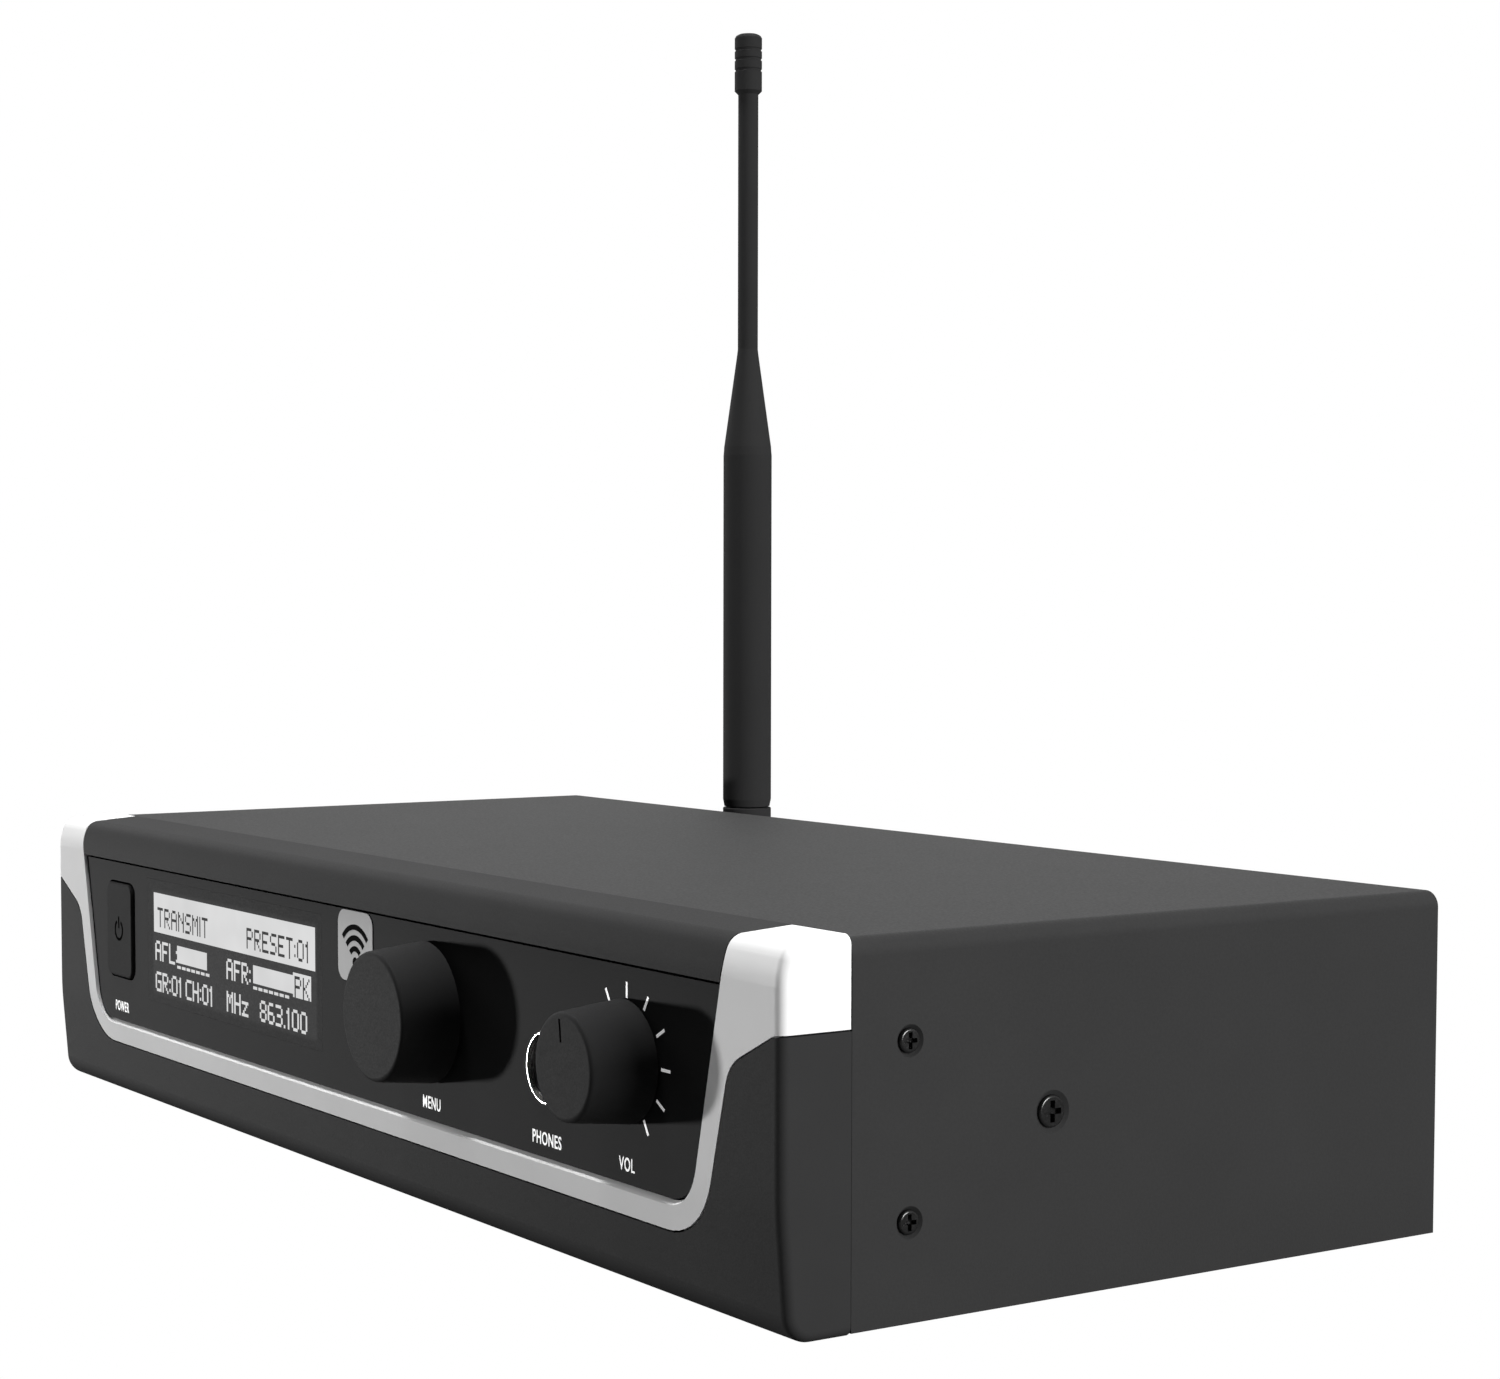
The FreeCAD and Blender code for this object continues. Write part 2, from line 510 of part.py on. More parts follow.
def phones_jack_sleeve():
    sleeve = rod(JACK_X, JACK_Z, JACK_SLEEVE_R, JACK_MOUTH, JACK_SLEEVE_REAR)
    rim = [e for e in sleeve.Edges if e.BoundBox.YMax < JACK_MOUTH + 1e-3]
    sleeve = sleeve.makeFillet(0.2, rim)
    return sleeve.cut(rod(JACK_X, JACK_Z, JACK_MOUTH_R, JACK_MOUTH - 1, JACK_SLEEVE_REAR + 1))


def phones_jack_body():
    body = block(JACK_X, JACK_Z, (13.0, 15.0), PLATE_BACK + 0.3, JACK_BODY_REAR)
    seat = rod(JACK_X, JACK_Z, JACK_SLEEVE_R, 0, JACK_SLEEVE_REAR)
    nose = rod(JACK_X, JACK_Z, JACK_MOUTH_R, JACK_NOSE_Y, JACK_SLEEVE_REAR + 1)
    return fuse([cut(body, [seat]), nose]).cut(rod(JACK_X, JACK_Z, JACK_BORE_R, 0, JACK_BODY_REAR - 1.5))


# ---- boards ------------------------------------------------------------------------------------
def front_board():
    board = box(-FRONT_BOARD_HALF_W, FRONT_BOARD_HALF_W, FRONT_BOARD_Y, FRONT_BOARD_Y + BOARD_T,
                *FRONT_BOARD_Z)
    holes = [block(JACK_X, JACK_Z, (13.2, 15.2), FRONT_BOARD_Y - 1, FRONT_BOARD_Y + 3)]
    holes += [rod(x, z, M25_R, FRONT_BOARD_Y - 1, FRONT_BOARD_Y + 3)
              for x in (-FRONT_BOSS_X, FRONT_BOSS_X) for z in FRONT_BOSS_Z]
    return cut(board, holes)


def main_board():
    board = box(-MAIN_BOARD_HALF_W, MAIN_BOARD_HALF_W, *MAIN_BOARD_Y, MAIN_BOARD_Z, BOARD_TOP)
    return cut(board, [post(x, y, M25_R, MAIN_BOARD_Z - 1, BOARD_TOP + 1)
                       for x in STANDOFF_X for y in STANDOFF_Y])


def board_standoffs():
    floor = COVER_BOTTOM + SHEET
    standoffs = []
    for x in STANDOFF_X:
        for y in STANDOFF_Y:
            thread = post(x, y, M25_R, floor + 1, MAIN_BOARD_Z + 1)
            standoffs.append(post(x, y, STANDOFF_R, floor, MAIN_BOARD_Z).cut(thread))
    return group(standoffs)


def rf_shield_can():
    x0, x1, y0, y1, top, wall = -98.0, -62.0, 42.0, 80.0, BOARD_TOP + 6, 0.4
    can = box(x0, x1, y0, y1, BOARD_TOP, top)
    return can.cut(box(x0 + wall, x1 - wall, y0 + wall, y1 - wall, BOARD_TOP - 1, top - wall))


def audio_chips():
    places = [(-40, 34, 14, 14), (-12, 50, 10, 7), (10, 34, 10, 7), (40, 52, 10, 7), (70, 36, 12, 12)]
    return group([box(x - w / 2, x + w / 2, y - d / 2, y + d / 2, BOARD_TOP, BOARD_TOP + 1.6)
                  for x, y, w, d in places])


def capacitors():
    places = [(88, 52), (88, 64), (74, 60), (28, 62), (-34, 62), (-48, 56)]
    return group([post(x, y, 4.0, BOARD_TOP, BOARD_TOP + 11) for x, y in places])


# ---- rear sockets ------------------------------------------------------------------------------
def combo_screw_places():
    """Two diagonal screws on each combo socket's flange."""
    return [(x + side * COMBO_SCREW_X, SOCKET_Z + side * COMBO_SCREW_Z)
            for x in COMBO_X.values() for side in (-1, 1)]


def combo_pin_places(x):
    r = COMBO_HOLE_PCD / 2
    angles = [math.radians(a) for a in (60, 180, 300)]
    return [(x + r * math.sin(a), SOCKET_Z + r * math.cos(a)) for a in angles]


def combo_input(x):
    """Panel socket that takes a three-pin plug around a central 6.35 mm plug bore."""
    w, h, t = COMBO_FLANGE
    face = PANEL_OUT + t
    half_w, half_h = w / 2, h / 2
    flange = front_prism([(x - half_w, SOCKET_Z - half_h, 3), (x + half_w, SOCKET_Z - half_h, 3),
                          (x + half_w, SOCKET_Z + half_h, 3), (x - half_w, SOCKET_Z + half_h, 3)],
                         PANEL_OUT, face)
    body = fuse([flange, rod(x, SOCKET_Z, COMBO_BODY_R, COMBO_REAR_Y, face)])
    ring = rod(x, SOCKET_Z, COMBO_SHELL_R, COMBO_FLOOR_Y, face + 1).cut(
        rod(x, SOCKET_Z, COMBO_INSERT_R, COMBO_FLOOR_Y, face + 1))
    body = body.cut(ring).cut(rod(x, SOCKET_Z, JACK_BORE_R, COMBO_REAR_Y + 2, face + 1))
    pin_holes = [rod(px, pz, COMBO_HOLE_R, COMBO_FLOOR_Y, face + 1) for px, pz in combo_pin_places(x)]
    screw_holes = [rod(sx, sz, M25_R, PANEL_OUT - 1, face + 1) for sx, sz in combo_screw_places()]
    return cut(cut(body, pin_holes), screw_holes)


def combo_contacts():
    """Spring sleeves that grip the pins of a three-pin plug."""
    sleeves = []
    for x in COMBO_X.values():
        for px, pz in combo_pin_places(x):
            sleeve = rod(px, pz, COMBO_HOLE_R, COMBO_FLOOR_Y, PANEL_OUT - 1)
            sleeves.append(sleeve.cut(rod(px, pz, COMBO_HOLE_R - 0.35, COMBO_FLOOR_Y + 1, PANEL_OUT)))
    return group(sleeves)


def combo_screws():
    screw = pan_screw(6.0)
    return group([aim(screw, V(x, PANEL_OUT + COMBO_FLANGE[2], z), BACK) for x, z in combo_screw_places()])


def output_jack(x):
    housing = block(x, SOCKET_Z, OUTPUT_BODY, OUTPUT_BODY_Y, PANEL_IN)
    thread = rod(x, SOCKET_Z, OUTPUT_THREAD_R, PANEL_IN - 0.5, OUTPUT_MOUTH)
    return fuse([housing, thread]).cut(rod(x, SOCKET_Z, JACK_BORE_R, OUTPUT_BODY_Y + 1.5, OUTPUT_MOUTH + 1))


def output_jack_nuts():
    nuts = []
    for x in OUTPUT_X.values():
        nut = rod(x, SOCKET_Z, OUTPUT_NUT_R, PANEL_OUT, PANEL_OUT + OUTPUT_NUT_T)
        rim = [e for e in nut.Edges if e.BoundBox.YMin > PANEL_OUT + OUTPUT_NUT_T - 1e-3]
        nut = nut.makeChamfer(0.4, rim).cut(rod(x, SOCKET_Z, OUTPUT_THREAD_R, PANEL_OUT - 1, OUTPUT_MOUTH))
        notches = []
        for angle in range(0, 360, 45):
            tooth = Part.makeBox(1.2, 3.0, 1.4, V(-0.6, OUTPUT_NUT_R - 1.0, OUTPUT_NUT_T - 1.4))
            tooth.rotate(V(0, 0, 0), UP, angle)
            notches.append(aim(tooth, V(x, PANEL_OUT, SOCKET_Z), BACK))
        nuts.append(cut(nut, notches))
    return group(nuts)


def dc_inlet():
    housing = block(DC_X, SOCKET_Z, DC_BODY, DC_BODY_Y, PANEL_IN)
    face = rod(DC_X, SOCKET_Z, DC_FACE_R, PANEL_IN - 0.5, DC_FACE)
    return fuse([housing, face]).cut(rod(DC_X, SOCKET_Z, DC_BORE_R, DC_FACE - 9.5, DC_FACE + 1))


def cord_hook():
    """Strain-relief hook: the power lead is pushed past the lip and lies in the loop."""
    x0, x1 = HOOK_X
    inner_x0, inner_x1, inner_y = x0 + HOOK_T, x1 - HOOK_T, HOOK_REACH - HOOK_T
    loop = [(x0 - 3, PANEL_OUT, 0), (inner_x0 + 0.6, PANEL_OUT, 0), (inner_x0 + 0.6, PANEL_OUT + 1.2, 0),
            (inner_x0, PANEL_OUT + 1.8, 0), (inner_x0, inner_y, 1.2), (inner_x1, inner_y, 1.2),
            (inner_x1, HOOK_LIP, 0.5), (x1, HOOK_LIP, 0.5), (x1, HOOK_REACH, 2.6), (x0, HOOK_REACH, 2.6),
            (x0, PANEL_OUT + 1.6, 0), (x0 - 3, PANEL_OUT + 1.6, 0)]
    return plan_prism(loop, *HOOK_Z)


# ---- antenna -----------------------------------------------------------------------------------
def bnc_jack():
    half = BNC_BLOCK_HALF
    base = box(ANT_X - half, ANT_X + half, BNC_BLOCK_Y, PANEL_IN, BOARD_TOP, SOCKET_Z + half)
    barrel = rod(ANT_X, SOCKET_Z, BNC_R, PANEL_IN - 0.5, BNC_MOUTH)
    lugs = post(ANT_X, BNC_LUG_Y, BNC_LUG_R, SOCKET_Z - BNC_LUG_REACH, SOCKET_Z + BNC_LUG_REACH)
    return fuse([base, barrel, lugs]).cut(rod(ANT_X, SOCKET_Z, BNC_BORE_R, BNC_FLOOR, BNC_MOUTH + 1))


def bnc_insulator():
    core = rod(ANT_X, SOCKET_Z, PLUG_BORE_R - 0.2, BNC_FLOOR, BNC_MOUTH - 1.5)
    return core.cut(rod(ANT_X, SOCKET_Z, 0.75, BNC_FLOOR + 1, BNC_MOUTH))


def bnc_nut():
    return aim(hex_nut(BNC_NUT_FLATS, BNC_NUT_T, BNC_R), V(ANT_X, PANEL_OUT, SOCKET_Z), BACK)


def antenna_coupling_ring():
    """Bayonet ring with finger ribs; it is trapped behind the elbow's shoulder."""
    front, neck, rear = RING_Y
    ring = rod(ANT_X, SOCKET_Z, RING_R, front, rear)
    rims = [e for e in ring.Edges if e.BoundBox.YLength < 1e-3]
    ring = ring.makeChamfer(0.4, rims)
    ring = ring.cut(rod(ANT_X, SOCKET_Z, RING_BORE_R, front - 1, neck))
    ring = ring.cut(rod(ANT_X, SOCKET_Z, RING_NECK_R, neck - 1, rear + 1))
    grooves = []
    for step in range(16):
        groove = Part.makeCylinder(0.55, rear - front, V(RING_R + 0.2, 0, 0))
        groove.rotate(V(0, 0, 0), UP, step * 360 / 16)
        grooves.append(aim(groove, V(ANT_X, front + 2.4, SOCKET_Z), BACK))
    return cut(ring, grooves)


def antenna_elbow():
    """Plug sleeve, neck, shoulder and the two fork ears that hold the whip's pivot."""
    sleeve = rod(ANT_X, SOCKET_Z, PLUG_R, PLUG_MOUTH, RING_Y[1]).cut(
        rod(ANT_X, SOCKET_Z, PLUG_BORE_R, PLUG_MOUTH - 1, RING_Y[1] - 0.6))
    neck = rod(ANT_X, SOCKET_Z, NECK_R, RING_Y[1] - 0.4, SHOULDER_Y[0])
    shoulder = rod(ANT_X, SOCKET_Z, SHOULDER_R, *SHOULDER_Y)
    rim = [e for e in shoulder.Edges if e.BoundBox.YMin > SHOULDER_Y[1] - 1e-3]
    shoulder = shoulder.makeChamfer(0.6, rim)
    ears = fuse([box(ANT_X - FORK_R, ANT_X + FORK_R, SHOULDER_Y[1] - 0.2, ANT_Y,
                     SOCKET_Z - FORK_R, SOCKET_Z + FORK_R),
                 axle(ANT_Y, SOCKET_Z, FORK_R, ANT_X - FORK_R, ANT_X + FORK_R)])
    slot = box(ANT_X - FORK_SLOT_HALF, ANT_X + FORK_SLOT_HALF, SHOULDER_Y[1] + 0.6, ANT_Y + 10,
               SOCKET_Z - 10, SOCKET_Z + 10)
    bore = axle(ANT_Y, SOCKET_Z, PIVOT_R, ANT_X - 6, ANT_X + 6)
    return cut(fuse([sleeve, neck, shoulder, ears]), [slot]).cut(bore)


def antenna_contact():
    return rod(ANT_X, SOCKET_Z, 0.68, PLUG_MOUTH + 0.8, RING_Y[1] - 0.6)


def antenna_pivot_pin():
    return axle(ANT_Y, SOCKET_Z, PIVOT_R, ANT_X - FORK_R - 0.15, ANT_X + FORK_R + 0.15)


def antenna_knuckle():
    """Tongue that turns between the fork ears, and the round collar above it."""
    tongue = fuse([box(ANT_X - TONGUE_HALF, ANT_X + TONGUE_HALF, ANT_Y - TONGUE_R, ANT_Y + TONGUE_R,
                       SOCKET_Z, WHIP_FOOT_Z),
                   axle(ANT_Y, SOCKET_Z, TONGUE_R, ANT_X - TONGUE_HALF, ANT_X + TONGUE_HALF)])
    collar = spun([(0, WHIP_FOOT_Z - 0.6), (WHIP_R - 0.9, WHIP_FOOT_Z - 0.6), (WHIP_R, WHIP_FOOT_Z + 0.3),
                   (WHIP_R, COLLAR_TOP - 0.15), (WHIP_R - 0.15, COLLAR_TOP), (0, COLLAR_TOP)],
                  V(ANT_X, ANT_Y, 0), UP)
    body = fuse([tongue, collar])
    body = body.cut(axle(ANT_Y, SOCKET_Z, PIVOT_R + RUN_CLEAR, ANT_X - 6, ANT_X + 6))
    return body.cut(post(ANT_X, ANT_Y, ROD_R, ROD_FOOT, COLLAR_TOP + 1))


def antenna_sleeve():
    profile = [(ROD_R, SLEEVE_BOTTOM), (WHIP_R - 0.25, SLEEVE_BOTTOM), (WHIP_R, SLEEVE_BOTTOM + 1.3),
               (WHIP_R, TAPER_BOTTOM), (WHIP_R - 0.12, TAPER_BOTTOM + 1.6), (ROD_R + 0.1, TAPER_TOP - 0.9),
               (ROD_R, TAPER_TOP)]
    return spun(profile, V(ANT_X, ANT_Y, 0), UP)


def antenna_rod():
    return post(ANT_X, ANT_Y, ROD_R, ROD_FOOT, ROD_TOP)


def antenna_tip():
    profile = [(0, ROD_TOP), (ROD_R, ROD_TOP), (ROD_R, TIP_BOTTOM), (TIP_R, TIP_BOTTOM + 0.65)]
    for z in TIP_GROOVES:
        profile += [(TIP_R, z - TIP_GROOVE_W / 2), (TIP_R - TIP_GROOVE_D, z - TIP_GROOVE_W / 4),
                    (TIP_R - TIP_GROOVE_D, z + TIP_GROOVE_W / 4), (TIP_R, z + TIP_GROOVE_W / 2)]
    profile += [(TIP_R, TIP_TOP - 0.75), (TIP_R - 0.25, TIP_TOP - 0.35), (TIP_R - 0.75, TIP_TOP - 0.08),
                (TIP_R - 1.5, TIP_TOP), (0, TIP_TOP)]
    return spun(profile, V(ANT_X, ANT_Y, 0), UP)


# ---- fasteners ---------------------------------------------------------------------------------
def side_places(y, heights):
    sides = ((HALF_W, RIGHT), (-HALF_W, LEFT))
    return [(V(x, y, z), direction) for x, direction in sides for z in heights]


def side_screws(y, heights, seat_r, shank_r, shank):
    screw = flush_screw(seat_r, shank_r, shank)
    return group([aim(screw, place, direction) for place, direction in side_places(y, heights)])


def side_nuts(y, heights, bore_r):
    """Press nuts behind the tray's side flanges."""
    nut = Part.makeCylinder(2.6, 1.6).cut(Part.makeCylinder(bore_r, 1.6))
    inset = HALF_W - (TRAY_HALF_W - SHEET)
    return group([aim(nut, place - direction * inset, direction * -1)
                  for place, direction in side_places(y, heights)])


def facing_screws(xs, zs, y, direction, shank):
    screw = pan_screw(shank)
    return group([aim(screw, V(x, y, z), direction) for x in xs for z in zs])


def board_screws():
    screw = pan_screw(5.0)
    return group([aim(screw, V(x, y, BOARD_TOP), UP) for x in STANDOFF_X for y in STANDOFF_Y])


# ---- assembly ----------------------------------------------------------------------------------
def assembly():
    parts = {
        "front_bezel": front_bezel(),
        "silver_trim": silver_trim(),
        "control_panel": control_panel(),
        "display_lens": display_lens(),
        "lcd_cell": box(*LCD_X, LCD_Y[0], LCD_Y[1], *LCD_Z),
        "lcd_backlight": lcd_backlight(),
        "power_button": power_button(),
        "power_switch": power_switch(),
        "power_switch_plunger": power_switch_plunger(),
        "menu_knob": menu_knob(),
        "menu_shaft": rod(MENU_X, MENU_Z, SHAFT_R, KNOB_BORE_Y, SHAFT_REAR),
        "encoder_body": control_body(MENU_X, MENU_Z),
        "encoder_plunger": encoder_plunger(),
        "volume_knob": volume_knob(),
        "volume_shaft": rod(VOLUME_X, VOLUME_Z, SHAFT_R, KNOB_BORE_Y, SHAFT_REAR),
        "volume_pot": control_body(VOLUME_X, VOLUME_Z),
        "shaft_nuts": shaft_nuts(),
        "phones_jack_sleeve": phones_jack_sleeve(),
        "phones_jack_body": phones_jack_body(),
        "front_board": front_board(),
        "front_board_screws": facing_screws((-FRONT_BOSS_X, FRONT_BOSS_X), FRONT_BOSS_Z,
                                            FRONT_BOARD_Y + BOARD_T, BACK, 6.0),
        "bezel_screws": facing_screws((-BEZEL_BOSS_X, BEZEL_BOSS_X), BEZEL_BOSS_Z,
                                      TRAY_FRONT + SHEET, BACK, 5.0),
        "top_cover": top_cover(),
        "chassis_tray": chassis_tray(),
        "rear_panel": rear_panel(),
        "rear_panel_screws": facing_screws((-REAR_SCREW_X, REAR_SCREW_X), REAR_SCREW_Z, PANEL_OUT, BACK, 4.0),
        "ear_screws": side_screws(EAR_SCREW_Y, EAR_SCREW_Z, EAR_SEAT_R, EAR_SHANK_R, 3.0),
        "ear_screw_nuts": side_nuts(EAR_SCREW_Y, EAR_SCREW_Z, EAR_SHANK_R),
        "cover_screws": side_screws(COVER_SCREW_Y, [COVER_SCREW_Z], COVER_SEAT_R, M25_R, 3.6),
        "cover_screw_nuts": side_nuts(COVER_SCREW_Y, [COVER_SCREW_Z], M25_R),
        "rubber_feet": rubber_feet(),
        "main_board": main_board(),
        "board_standoffs": board_standoffs(),
        "board_screws": board_screws(),
        "rf_shield_can": rf_shield_can(),
        "audio_chips": audio_chips(),
        "capacitors": capacitors(),
        "board_connector": box(-15, 15, FRONT_BOARD_Y + BOARD_T, 20, BOARD_TOP, BOARD_TOP + 5.5),
        "combo_contacts": combo_contacts(),
        "combo_screws": combo_screws(),
        "output_jack_nuts": output_jack_nuts(),
        "dc_inlet": dc_inlet(),
        "dc_inlet_pin": rod(DC_X, SOCKET_Z, DC_PIN_R, DC_FACE - 9.5, DC_FACE - 0.8),
        "cord_hook": cord_hook(),
        "bnc_jack": bnc_jack(),
        "bnc_insulator": bnc_insulator(),
        "bnc_nut": bnc_nut(),
        "antenna_coupling_ring": antenna_coupling_ring(),
        "antenna_elbow": antenna_elbow(),
        "antenna_contact": antenna_contact(),
        "antenna_pivot_pin": antenna_pivot_pin(),
        "antenna_knuckle": antenna_knuckle(),
        "antenna_sleeve": antenna_sleeve(),
        "antenna_rod": antenna_rod(),
        "antenna_tip": antenna_tip(),
    }
    for side in COMBO_X:
        parts["combo_input_" + side] = combo_input(COMBO_X[side])
        parts["output_jack_" + side] = output_jack(OUTPUT_X[side])
    return parts


def main():
    os.makedirs("parts", exist_ok=True)
    rear_reach = ANT_Y + FORK_R
    to_origin = V(0, -(KNOB_FACE_Y + rear_reach) / 2, FOOT_DROP)
    for name, shape in assembly().items():
        placed = shape.copy()
        placed.translate(to_origin)
        placed.exportStep("parts/" + name + ".step")
        if not placed.isValid() or placed.Volume <= 0:
            print("check", name, placed.isValid(), placed.Volume)
    print("origin shift", to_origin, "nodes", len(os.listdir("parts")))


main()
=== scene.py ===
import json
import math

import bmesh
import bpy
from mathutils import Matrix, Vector


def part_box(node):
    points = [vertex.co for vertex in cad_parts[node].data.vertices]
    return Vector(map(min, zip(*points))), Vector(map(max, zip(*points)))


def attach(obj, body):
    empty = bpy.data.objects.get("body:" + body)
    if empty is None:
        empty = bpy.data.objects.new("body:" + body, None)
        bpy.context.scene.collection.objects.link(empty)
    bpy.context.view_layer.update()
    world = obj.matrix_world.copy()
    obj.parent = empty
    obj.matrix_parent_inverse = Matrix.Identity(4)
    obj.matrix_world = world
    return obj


# Looks of a half-rack wireless monitor transmitter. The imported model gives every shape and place;
# this script adds materials, printed marks, the lit display, the stage, the lights and the camera.

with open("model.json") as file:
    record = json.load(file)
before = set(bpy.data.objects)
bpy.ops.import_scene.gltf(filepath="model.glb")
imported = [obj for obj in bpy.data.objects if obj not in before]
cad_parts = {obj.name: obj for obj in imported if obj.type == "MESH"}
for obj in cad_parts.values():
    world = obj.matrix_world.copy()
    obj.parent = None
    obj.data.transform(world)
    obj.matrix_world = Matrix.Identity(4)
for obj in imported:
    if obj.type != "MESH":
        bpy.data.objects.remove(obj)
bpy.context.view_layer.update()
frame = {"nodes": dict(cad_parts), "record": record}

MM = 0.001
BEZEL_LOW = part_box("front_bezel")[0]
PANEL_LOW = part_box("control_panel")[0]
LENS_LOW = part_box("display_lens")[0]
FRONT_Y = BEZEL_LOW.y          # plane of the bezel's front
BASE_Z = BEZEL_LOW.z           # level of the bezel's lower edge
INK = 0.03 * MM                # thickness of printed marks


def middle(node):
    low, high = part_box(node)
    return (low + high) / 2


def front_point(x_mm, z_mm, y):
    """Row-frame point from a place on the front (mm from the centre line and the bezel's lower edge)."""
    return Vector((x_mm * MM, y, BASE_Z + z_mm * MM))


# ---- lit display: sizes ------------------------------------------------------------------------
LIT_X, LIT_Z = (-66.0, -8.2), (19.0, 34.6)     # mm, lit area of the display
COLUMNS, ROWS = 128, 35
HALO_WIDTH = 0.8                               # mm, over which its dim light fades out
HALO_COLOUR = (0.014, 0.014, 0.0142)
UNLIT_CELL = (0.02, 0.022, 0.025)
BACKLIGHT_SPREAD = (0.92, 1.04)                # unevenness of the backlight


# ---- material tools ----------------------------------------------------------------------------
PATCH_DETAIL, GRAIN_DETAIL, GLOW_DETAIL = 4.0, 2.0, 2.0     # octaves of the three noises
GLOW_PATCH_MM = 9.0
LEAST_ROUGH, COAT_ROUGH = 0.02, 0.1
SMOOTH_GRAIN_MM = 0.001                        # grain depth of printed and glassy surfaces


class Nodes:
    """Small helper that adds and links shader nodes in one material."""

    def __init__(self, name, material=None):
        self.material = material or bpy.data.materials.new(name)
        self.material.use_nodes = True
        self.tree = self.material.node_tree
        self.shader = self.tree.nodes["Principled BSDF"]
        self.place = self.tree.nodes.new("ShaderNodeTexCoord").outputs["Object"]

    def add(self, kind, **settings):
        node = self.tree.nodes.new(kind)
        for key, value in settings.items():
            setattr(node, key, value)
        return node

    def link(self, source, target):
        self.tree.links.new(source, target)

    def vector(self, operation, source, other=(0, 0, 0)):
        node = self.add("ShaderNodeVectorMath", operation=operation)
        self.link(source, node.inputs[0])
        node.inputs[1].default_value = other
        return node.outputs[0]

    def noise(self, size_mm, detail, stretch=(1, 1, 1)):
        """Noise whose blobs are about size_mm across."""
        scaled = self.add("ShaderNodeVectorMath", operation="MULTIPLY")
        scaled.inputs[1].default_value = [s / (size_mm * MM) for s in stretch]
        self.link(self.place, scaled.inputs[0])
        texture = self.add("ShaderNodeTexNoise")
        texture.inputs["Scale"].default_value = 1.0
        texture.inputs["Detail"].default_value = detail
        self.link(scaled.outputs[0], texture.inputs["Vector"])
        return texture.outputs["Fac"]

    def between(self, factor, low, high, start=0.3, end=0.7):
        """Number that runs from low to high as the factor runs from start to end."""
        node = self.add("ShaderNodeMapRange")
        for name, value in zip(("From Min", "From Max", "To Min", "To Max"), (start, end, low, high)):
            node.inputs[name].default_value = value
        self.link(factor, node.inputs["Value"])
        return node.outputs["Result"]

    def tint(self, factor, first, second):
        node = self.add("ShaderNodeMix", data_type="RGBA")
        node.inputs["A"].default_value = (*first, 1)
        node.inputs["B"].default_value = (*second, 1)
        self.link(factor, node.inputs["Factor"])
        return node.outputs["Result"]

    def bump(self, height, depth_mm):
        node = self.add("ShaderNodeBump")
        node.inputs["Distance"].default_value = depth_mm * MM
        node.inputs["Strength"].default_value = 1.0
        self.link(height, node.inputs["Height"])
        return node.outputs["Normal"]


def finish_material(name, colour, rough, metallic=0.0, specular=0.5, mottle=0.04, patch_mm=14.0,
                    grain_mm=0.25, grain_depth_mm=0.006, rough_spread=0.06, coat=0.0,
                    stretch=(1, 1, 1)):
    """Surface with slow colour drift, fine grain in the bump and uneven gloss."""
    n = Nodes(name)
    shader = n.shader.inputs
    patches = n.noise(patch_mm, PATCH_DETAIL)
    darker = [c * (1 - mottle) for c in colour]
    lighter = [min(1.0, c * (1 + mottle)) for c in colour]
    n.link(n.tint(n.between(patches, 0, 1), darker, lighter), shader["Base Color"])
    grain = n.noise(grain_mm, GRAIN_DETAIL, stretch)
    gloss = n.between(grain, max(LEAST_ROUGH, rough - rough_spread), min(1.0, rough + rough_spread))
    n.link(gloss, shader["Roughness"])
    n.link(n.bump(grain, grain_depth_mm), shader["Normal"])
    shader["Metallic"].default_value = metallic
    shader["Specular IOR Level"].default_value = specular
    shader["Coat Weight"].default_value = coat
    shader["Coat Roughness"].default_value = COAT_ROUGH
    return n.material


def window_material(name, colour, rough, specular):
    """Dark display window with the dim even light of the cell behind it, fading out around the lit area."""
    material = finish_material(name, colour, rough, specular=specular, grain_depth_mm=SMOOTH_GRAIN_MM)
    n = Nodes(name, material)
    low, high = front_point(LIT_X[0], LIT_Z[0], 0), front_point(LIT_X[1], LIT_Z[1], 0)
    centre, half = (low + high) / 2, (high - low) / 2
    offset = n.vector("SUBTRACT", n.place, (centre.x, 0, centre.z))
    past_edge = n.vector("SUBTRACT", n.vector("ABSOLUTE", offset), (half.x, 1, half.z))
    outside = n.vector("MAXIMUM", past_edge, (0, 0, 0))
    distance = n.add("ShaderNodeVectorMath", operation="LENGTH")
    n.link(outside, distance.inputs[0])
    light = n.between(distance.outputs["Value"], 1, 0, 0, HALO_WIDTH * MM)
    glow = n.add("ShaderNodeVectorMath", operation="SCALE")
    glow.inputs[0].default_value = HALO_COLOUR
    n.link(light, glow.inputs["Scale"])
    n.link(glow.outputs[0], n.shader.inputs["Emission Color"])
    n.shader.inputs["Emission Strength"].default_value = 1.0
    return material


